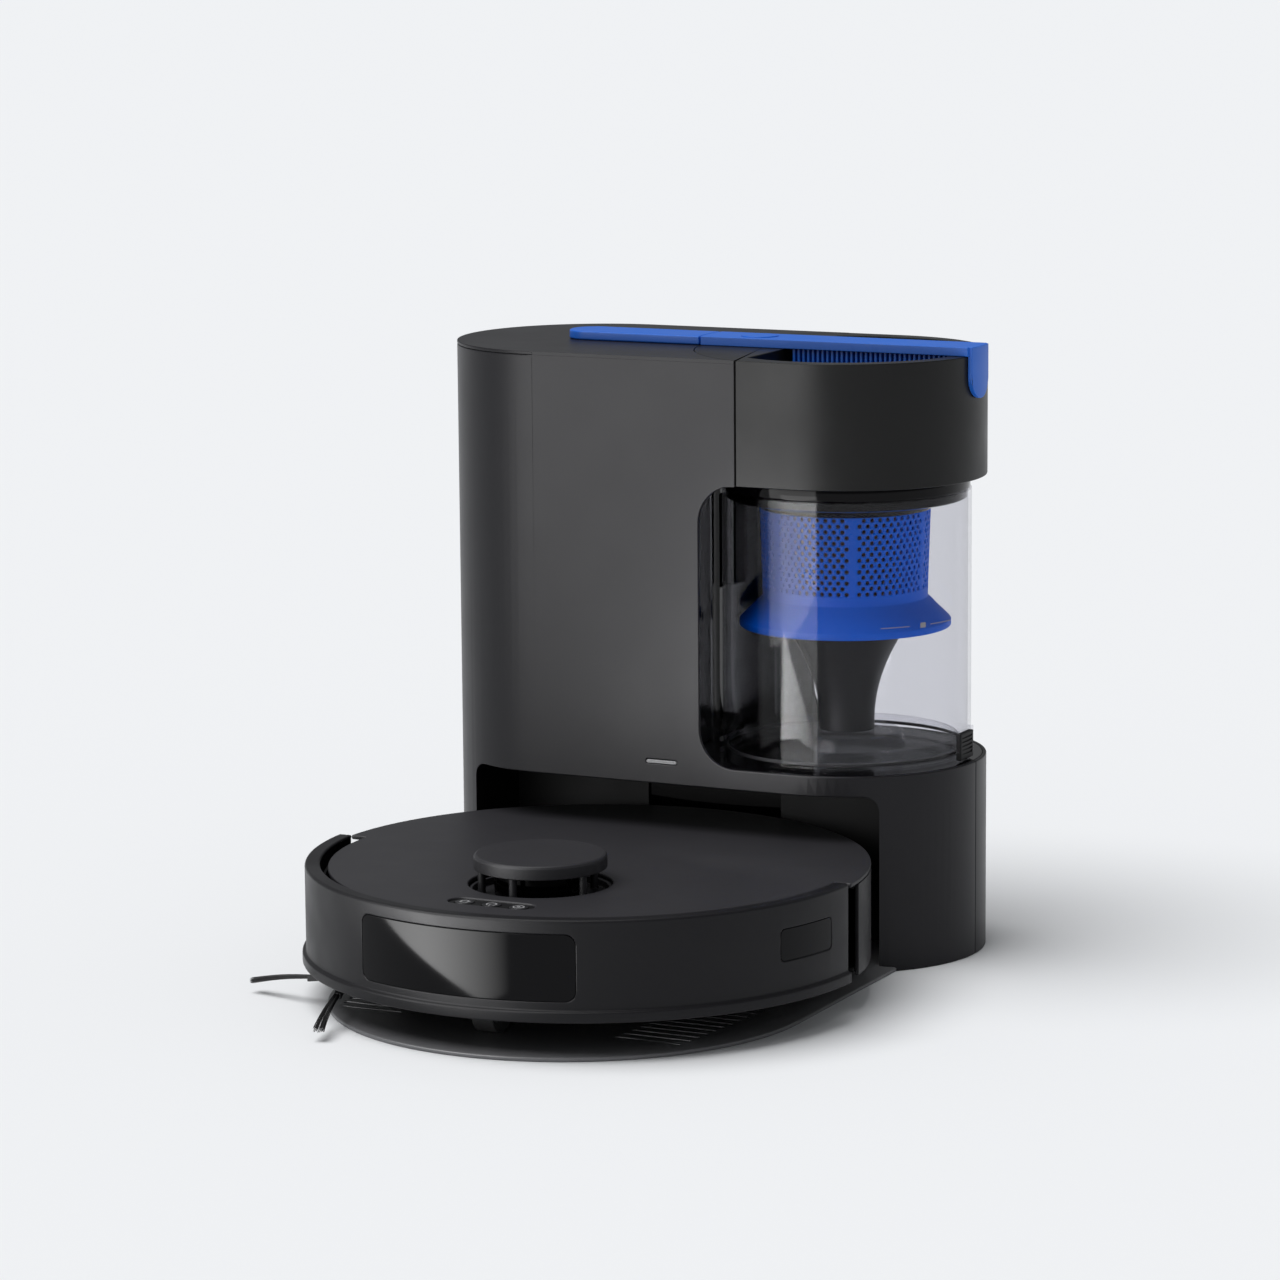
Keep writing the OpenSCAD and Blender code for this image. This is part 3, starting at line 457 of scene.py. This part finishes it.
# ---------------------------------------------------------------- the cyclone in the dust cup
SCREEN_TOP = 282.1 * MM
SCREEN_ROWS = 14
SCREEN_PITCH = 3.6 * MM
SCREEN_LOW = SCREEN_TOP - SCREEN_ROWS * SCREEN_PITCH
SCREEN_R = (54.2 * MM, 52.3 * MM)  # at the screen's top and at the skirt
SKIRT_TOP = 225.5 * MM
HOLE_R = 1.42 * MM
PANELS = 6
PANEL_CELLS = 10
FIRST_PANEL = -1  # degrees from the front to the first panel's middle
CELL = math.radians(5.7)
STRIP = math.radians(3)


def screen_point(angle, z):
    """A point on the shroud's slightly tapered wall; angle 0 faces the front."""
    share = (SCREEN_TOP - z) / (SCREEN_TOP - SKIRT_TOP)
    radius = SCREEN_R[0] + (SCREEN_R[1] - SCREEN_R[0]) * share
    return Vector((CUP_AXIS.x + radius * math.sin(angle), CUP_AXIS.y - radius * math.cos(angle), z))


def perforated_cell(data, angle, z):
    """One cell of the screen: a ring of faces between the cell's edge and its hole."""
    quarter, half = CELL / 4, SCREEN_PITCH / 2
    bottom = [(u, -1) for u in (-2, -1, 0, 1, 2)]
    top = [(u, 1) for u in (2, 1, 0, -1, -2)]
    edge = bottom + [(2, 0)] + top + [(-2, 0)]
    outer = [data.verts.new(screen_point(angle + u * quarter, z + v * half)) for u, v in edge]
    inner = []
    for u, v in edge:
        way = math.atan2(v * half, u * quarter * SCREEN_R[1])
        beside, above = HOLE_R * math.cos(way) / SCREEN_R[1], HOLE_R * math.sin(way)
        inner.append(data.verts.new(screen_point(angle + beside, z + above)))
    for i in range(len(edge)):
        k = (i + 1) % len(edge)
        data.faces.new((outer[i], outer[k], inner[k], inner[i]))


def blank_cell(data, left, right, z, columns):
    """A plain stretch of screen between two angles."""
    half = SCREEN_PITCH / 2
    across = [left + (right - left) * i / columns for i in range(columns + 1)]
    bottom = [(angle, z - half) for angle in across]
    top = [(angle, z + half) for angle in reversed(across)]
    edge = bottom + [(right, z)] + top + [(left, z)]
    data.faces.new([data.verts.new(screen_point(angle, height)) for angle, height in edge])


def cyclone_screen():
    """The perforated screen: panels of staggered holes between plain strips."""
    data = bmesh.new()
    for panel in range(PANELS):
        centre = math.radians(FIRST_PANEL + 360 / PANELS * panel)
        left = centre - PANEL_CELLS / 2 * CELL
        right = left + PANEL_CELLS * CELL
        for row in range(SCREEN_ROWS):
            z = SCREEN_TOP - SCREEN_PITCH * (row + 0.5)
            if row % 2:
                for i in range(PANEL_CELLS):
                    perforated_cell(data, left + CELL * (i + 0.5), z)
            else:
                blank_cell(data, left, left + CELL / 2, z, 2)
                for i in range(PANEL_CELLS - 1):
                    perforated_cell(data, left + CELL * (i + 1), z)
                blank_cell(data, right - CELL / 2, right, z, 2)
            blank_cell(data, right, right + STRIP, z, 1)
    bmesh.ops.remove_doubles(data, verts=data.verts, dist=0.02 * MM)
    screen = publish("cyclone_screen", data, "bin_top", "vivid_blue_plastic")
    wall = screen.modifiers.new("wall", "SOLIDIFY")
    wall.thickness = 1.5 * MM
    wall.offset = -1
    screen.modifiers.move(1, 0)


def cyclone_skirt():
    """The plain band under the screen and the flared skirt, with its moulded line."""
    band = [(52.50, SCREEN_LOW / MM), (52.62, SCREEN_LOW / MM - 0.2), (52.35, SKIRT_TOP / MM + 0.8)]
    flare = [(52.9, SKIRT_TOP / MM - 0.6), (56.6, 221.4), (57.0, 220.7), (66.6, 211.4), (67.2, 210.4)]
    lip = [(67.2, 207.3), (66.8, 206.8), (65.8, 206.8), (65.4, 207.3)]
    inside = [(65.4, 209.8), (50.9, 224.3), (50.9, SCREEN_LOW / MM)]
    data = bmesh.new()
    lathe(data, CUP_AXIS, [(r * MM, z * MM) for r, z in band + flare + lip + inside])
    skirt = publish("cyclone_skirt", data, "bin_top", "vivid_blue_plastic", smooth_deg=40)
    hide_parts("cyclone_shroud")


def cup_scale():
    """A fine fill line with a small square in its middle, on the outside of the cup."""
    data = bmesh.new()
    outer = CUP_R + 0.12 * MM
    inner = outer - 0.3 * MM
    for start, end, low, high in ((40, 54, 216.0, 216.4), (60, 63, 214.6, 217.8), (66, 80, 216.0, 216.4)):
        low, high = low * MM, high * MM
        profile = [(inner, low), (outer, low), (outer, high), (inner, high)]
        lathe(data, CUP_AXIS, profile, 24, math.radians(start - 90), math.radians(end - start))
    publish("fill_line", data, "bin", "light_guide")


cyclone_screen()
cyclone_skirt()
cup_scale()


# ---------------------------------------------------------------- the side brush
ARMS = 3
ARM_FIRST = math.radians(169)
ROOT_X = (8 * MM, 30 * MM)
BRISTLE_FROM = 26  # mm from the hub's axis
BRISTLE_TO = 79.4
BRISTLES = 90  # in one bundle
BRISTLE_R = 0.20 * MM
BRISTLE_STEPS = 10


def arm_turn(arm):
    """The place of an arm whose own x runs outward from the hub's axis."""
    return Matrix.Translation(SIDE_HUB) @ Matrix.Rotation(ARM_FIRST + arm * 2 * math.pi / ARMS, 4, "Z")


def side_brush():
    """A moulded hub with a short root for each bundle of bristles."""
    profile = [(3.1, 18.8), (9, 18.6), (11.4, 19.4), (12, 20.6), (11.6, 23.2), (10.8, 23.8), (3.1, 23.8)]
    data = bmesh.new()
    lathe(data, SIDE_HUB, [(r * MM, z * MM) for r, z in profile], 48)
    near, far = ROOT_X
    for arm in range(ARMS):
        root = bmesh.new()
        block(root, (near, -3.2 * MM, -2.0 * MM), (far, 3.2 * MM, 2.0 * MM))
        for vert in root.verts:
            share = (vert.co.x - near) / (far - near)
            vert.co.y *= 1 - 0.35 * share
            vert.co.z += 20.4 * MM - share * 4.2 * MM
        bmesh.ops.subdivide_edges(root, edges=root.edges, cuts=2)
        rounded(root, 0.5 * MM, angle=40)
        root.transform(arm_turn(arm))
        merge(data, root)
    hub = publish("side_brush_hub", data, "sweeper", "soft_rubber", smooth_deg=40)
    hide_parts("side_brush")


def bristle_point(share, across, over, reach):
    """A point of a bristle at a share of its length, for its place across and over the bundle."""
    x = BRISTLE_FROM * MM + (reach - BRISTLE_FROM * MM) * share
    fan = across * (1.5 + 1.9 * share ** 1.5) * MM
    bend = 5.0 * MM * (share ** 2 - share) - 2.5 * MM * share ** 2
    droop = 17.6 - 10.0 * share ** 0.9 + 1.2 * math.sin(math.pi * share)
    return Vector((x, fan + bend, (droop + over * (1.0 + 0.6 * share)) * MM))


def bristles():
    """Curved bundles of bristles that widen and droop towards their tips."""
    rng = random.Random(4)
    data = bmesh.new()
    for arm in range(ARMS):
        turn = arm_turn(arm)
        for _ in range(BRISTLES):
            across, over = rng.uniform(-1, 1), rng.uniform(-1, 1)
            reach = (BRISTLE_TO - 2.2 * rng.random() - 1.2 * abs(across)) * MM
            shares = [step / (BRISTLE_STEPS - 1) for step in range(BRISTLE_STEPS)]
            route = [turn @ bristle_point(share, across, over, reach) for share in shares]
            strand(data, route, BRISTLE_R)
    publish("side_brush_bristles", data, "sweeper", "soft_rubber", smooth_deg=60)


side_brush()
bristles()


# ---------------------------------------------------------------- wheels and main brush
LUGS = 26
LUG_SKEW = 22  # degrees
SPOKES = 6


def tyre(side, node, body):
    """Tread lugs in a chevron round a drive wheel, and spokes on the hub's outer side (1 is +x)."""
    low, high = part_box(node)
    centre = (low + high) / 2
    radius = (high.z - low.z) / 2
    width = high.x - low.x
    half_lug = width / 4 - 0.6 * MM
    data = bmesh.new()
    for i in range(LUGS):
        for hand in (-1, 1):
            place = (
                Matrix.Translation(centre)
                @ Matrix.Rotation(math.radians(360 / LUGS * (i + 0.25 * (hand + 1))), 4, "X")
                @ Matrix.Translation((hand * width / 4, 0, radius - 0.7 * MM))
                @ Matrix.Rotation(math.radians(hand * LUG_SKEW), 4, "Z")
            )
            block(data, (-half_lug, -1.5 * MM, -1.0 * MM), (half_lug, 1.5 * MM, 0.65 * MM), place)
    rounded(data, 0.3 * MM, segments=1)
    publish(node + "_lugs", data, body, "tyre_rubber")
    face = side * (width / 2 - 4 * MM)
    spokes = bmesh.new()
    for i in range(SPOKES):
        place = Matrix.Translation(centre) @ Matrix.Rotation(math.radians(360 / SPOKES * i), 4, "X")
        block(spokes, (face - 0.8 * MM, -1.4 * MM, 5.5 * MM), (face + 1.4 * MM, 1.4 * MM, 19.5 * MM), place)
    rounded(spokes, 0.3 * MM, segments=1)
    publish(node + "_spokes", spokes, body, "dark_plastic")


BLADES = 6
BLADE_STEPS = 48
BLADE_HALF = 80 * MM
BLADE_TWIST = 70  # degrees from the end to the middle
BLADE_EDGE = [(8.5, 1.4), (15, 1.1), (21.0, 0.8)]  # radius and half thickness, mm


def brush_blade(data, blade):
    """One helical rubber blade; its two halves meet in a chevron."""
    outline = BLADE_EDGE + [(r, -w) for r, w in reversed(BLADE_EDGE)]
    rows = []
    for step in range(BLADE_STEPS + 1):
        x = -BLADE_HALF + 2 * BLADE_HALF * step / BLADE_STEPS
        twist = math.radians(360 / BLADES * blade + BLADE_TWIST * (1 - abs(x) / BLADE_HALF))
        away = Vector((0, math.cos(twist), math.sin(twist)))
        side = Vector((0, -math.sin(twist), math.cos(twist)))
        spine = BRUSH_CENTRE + Vector((x, 0, 0))
        rows.append([data.verts.new(spine + away * (r * MM) + side * (w * MM)) for r, w in outline])
    for a, b in zip(rows, rows[1:]):
        for i in range(len(outline)):
            k = (i + 1) % len(outline)
            data.faces.new((a[i], a[k], b[k], b[i]))
    data.faces.new(rows[0][::-1])
    data.faces.new(rows[-1])


def main_brush():
    """A roller with helical blades, end caps and stub axles."""
    data = bmesh.new()
    for blade in range(BLADES):
        brush_blade(data, blade)
    half = [(9.2, 79.5), (10.5, 80), (10.5, 81.5), (3, 81.5), (3, 87), (0.5, 87)]
    profile = [(r, -z) for r, z in reversed(half)] + half
    core = bmesh.new()
    lathe(core, Vector((0, 0, 0)), [(r * MM, z * MM) for r, z in profile], 48)
    core.transform(Matrix.Translation(BRUSH_CENTRE) @ Matrix.Rotation(math.radians(90), 4, "Y"))
    merge(data, core)
    roller = publish("main_brush_roller", data, "roller", "soft_rubber", smooth_deg=40)
    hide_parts("main_brush")


tyre(1, "left_wheel", "wheel_left")
tyre(-1, "right_wheel", "wheel_right")
main_brush()


# ---------------------------------------------------------------- foam behind the exhaust grille
def exhaust_foam():
    """A thin foam pad that keeps dust and light from passing straight through the grille."""
    low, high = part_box("exhaust_grille")
    lap = 2 * MM
    front, back = low.y - 5 * MM, low.y - 1 * MM
    data = bmesh.new()
    block(data, (low.x - lap, front, low.z - lap), (high.x + lap, back, high.z + lap))
    rounded(data, 0.6 * MM)
    publish("exhaust_foam", data, "dock", "filter_paper")


exhaust_foam()


# ---------------------------------------------------------------- closed ends of the bumper
def bumper_ends():
    """A plate at each end of the bumper, closing it between its wall and the underside of its rim."""
    low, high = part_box("bumper")
    inner, outer = high.x - 11.4 * MM, high.x - 4.9 * MM
    front, back = high.y - 2.4 * MM, high.y - 0.4 * MM
    bottom, top = low.z + 2 * MM, high.z - 1.7 * MM
    data = bmesh.new()
    for left, right in ((-outer, -inner), (inner, outer)):
        block(data, (left, front, bottom), (right, back, top))
    publish("bumper_ends", data, "bumper", SLOT_OF["bumper"])


bumper_ends()


# ---------------------------------------------------------------- small marks
STROKE = 0.8 * MM
SUNK = 0.1 * MM  # how far a mark reaches into the key
RAISED = 0.08 * MM  # how far it stands above the key


def arc_mark(data, centre, radius, width, start, turn):
    """A flat raised arc on a level face; centre lies on the face."""
    inner, outer = radius - width / 2, radius + width / 2
    low, high = centre.z - SUNK, centre.z + RAISED
    lathe(data, centre, [(inner, low), (outer, low), (outer, high), (inner, high)], 32, start, turn)


def bar_mark(data, centre, x, y, width, height, turn=0):
    """A flat raised bar on a level face, with its middle at x, y from centre."""
    place = Matrix.Translation(centre + Vector((x, y, 0))) @ Matrix.Rotation(math.radians(turn), 4, "Z")
    block(data, (-width / 2, -height / 2, -SUNK), (width / 2, height / 2, RAISED), place)


def home_mark(data, centre):
    """A floor, two walls and a pitched roof."""
    bar_mark(data, centre, 0, -2.2 * MM, 4.4 * MM, STROKE)
    for side in (-1, 1):
        bar_mark(data, centre, side * 2.2 * MM, -0.7 * MM, STROKE, 3.4 * MM)
        bar_mark(data, centre, side * 1.5 * MM, 2.0 * MM, 4.4 * MM, STROKE, -40 * side)


def power_mark(data, centre):
    """An open ring with a bar in its gap."""
    arc_mark(data, centre, 3.0 * MM, STROKE, math.radians(-60), math.radians(300))
    bar_mark(data, centre, 0, -2.7 * MM, STROKE, 3.0 * MM)


def spot_mark(data, centre):
    """A ring round a dot."""
    arc_mark(data, centre, 3.2 * MM, STROKE, 0, FULL_TURN)
    arc_mark(data, centre, 0.7 * MM, 0.9 * MM, 0, FULL_TURN)


def key_marks():
    """A plain symbol on each of the three keys."""
    for kind, mark in (("home", home_mark), ("power", power_mark), ("spot", spot_mark)):
        node = kind + "_button"
        low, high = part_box(node)
        data = bmesh.new()
        mark(data, Vector(((low.x + high.x) / 2, (low.y + high.y) / 2, high.z)))
        publish(node + "_mark", data, kind + "_key", "light_guide", smooth_deg=60)


key_marks()


# ---------------------------------------------------------------- stage, light and camera
CAMERA_AT = Vector((1.3002, -2.5664, 0.7091))
CAMERA_AZIMUTH = math.radians(26.24)
CAMERA_DROP = math.radians(9.66)
CAMERA_ROLL = math.radians(-0.467)
CAMERA_LENS = 134.81


def add_camera():
    """The camera that fits the photograph."""
    forward = Vector(
        (
            -math.sin(CAMERA_AZIMUTH) * math.cos(CAMERA_DROP),
            math.cos(CAMERA_AZIMUTH) * math.cos(CAMERA_DROP),
            -math.sin(CAMERA_DROP),
        )
    )
    level = Vector((math.cos(CAMERA_AZIMUTH), math.sin(CAMERA_AZIMUTH), 0))
    up = level.cross(forward)
    right = level * math.cos(CAMERA_ROLL) + up * math.sin(CAMERA_ROLL)
    up = up * math.cos(CAMERA_ROLL) - level * math.sin(CAMERA_ROLL)
    data = bpy.data.cameras.new("camera")
    data.sensor_width = 36
    data.lens = CAMERA_LENS
    data.clip_end = 200
    camera = bpy.data.objects.new("camera", data)
    turned = Matrix((right, up, -forward)).transposed().to_4x4()
    camera.matrix_world = Matrix.Translation(CAMERA_AT) @ turned
    bpy.context.scene.collection.objects.link(camera)
    bpy.context.scene.camera = camera


def add_floor():
    """A pale floor that runs far back."""
    data = bmesh.new()
    bmesh.ops.create_grid(data, x_segments=1, y_segments=1, size=80)
    mesh = bpy.data.meshes.new("floor")
    data.to_mesh(mesh)
    data.free()
    floor = bpy.data.objects.new("floor", mesh)
    material, tree, output = new_material("floor")
    shader = tree.nodes.new("ShaderNodeBsdfPrincipled")
    shader.inputs["Base Color"].default_value = (0.84, 0.85, 0.865, 1)
    shader.inputs["Specular IOR Level"].default_value = 0.0
    tree.links.new(spread(tree, noise(tree, 3), 0.5, 0.6), shader.inputs["Roughness"])
    tree.links.new(shader.outputs[0], output.inputs["Surface"])
    mesh.materials.append(material)
    bpy.context.scene.collection.objects.link(floor)


def add_light(name, place, target, size, power, roll_deg=0, spread_deg=180):
    """A rectangular softbox aimed at a point; it shows as a reflection but lights no matte surface."""
    data = bpy.data.lights.new(name, "AREA")
    data.shape = "RECTANGLE"
    data.size, data.size_y = size
    data.energy = power
    data.spread = math.radians(spread_deg)
    lamp = bpy.data.objects.new(name, data)
    lamp.location = place
    aim = (Vector(target) - Vector(place)).to_track_quat("-Z", "Y")
    lamp.rotation_euler = (aim @ Quaternion((0, 0, 1), math.radians(roll_deg))).to_euler()
    lamp.visible_camera = False
    lamp.visible_diffuse = False
    bpy.context.scene.collection.objects.link(lamp)


def add_sun(place, strength, soft_deg):
    """Even light over the whole floor, with soft shadows."""
    data = bpy.data.lights.new("sun", "SUN")
    data.energy = strength
    data.angle = math.radians(soft_deg)
    lamp = bpy.data.objects.new("sun", data)
    lamp.rotation_euler = (-Vector(place)).to_track_quat("-Z", "Y").to_euler()
    bpy.context.scene.collection.objects.link(lamp)


def add_world():
    """Even pale surroundings."""
    world = bpy.data.worlds.new("world")
    world.use_nodes = True
    background = world.node_tree.nodes["Background"]
    background.inputs["Color"].default_value = (0.93, 0.95, 0.97, 1)
    background.inputs["Strength"].default_value = 0.28
    bpy.context.scene.world = world
    bpy.context.scene.view_settings.view_transform = "Standard"


add_world()
add_floor()
add_camera()
add_sun((-0.30, -0.22, 1.0), strength=2.6, soft_deg=50)
# A wide card off the dock's left front corner, for the long soft sheen of the shells.
add_light("card", (-0.30, -0.70, 0.43), (0.40, 0.0, 0.43), size=(0.86, 0.74), power=9.0)
# A strip close to the dust cup, for the upright band of light on its wall.
add_light(
    "cup_strip", (0.0535, 0.0175, 0.1975), (0.0916, 0.110, 0.1975), size=(0.0887, 0.179), power=0.19
)
# A long low panel in front of the bumper, for the slanted highlight on the front window.
add_light(
    "window_light", (-0.0064, -0.3337, 0.0311), (0.1156, -0.1957, 0.1081),
    size=(0.45, 0.086), power=0.36, roll_deg=-20, spread_deg=70,
)

bpy.context.view_layer.update()
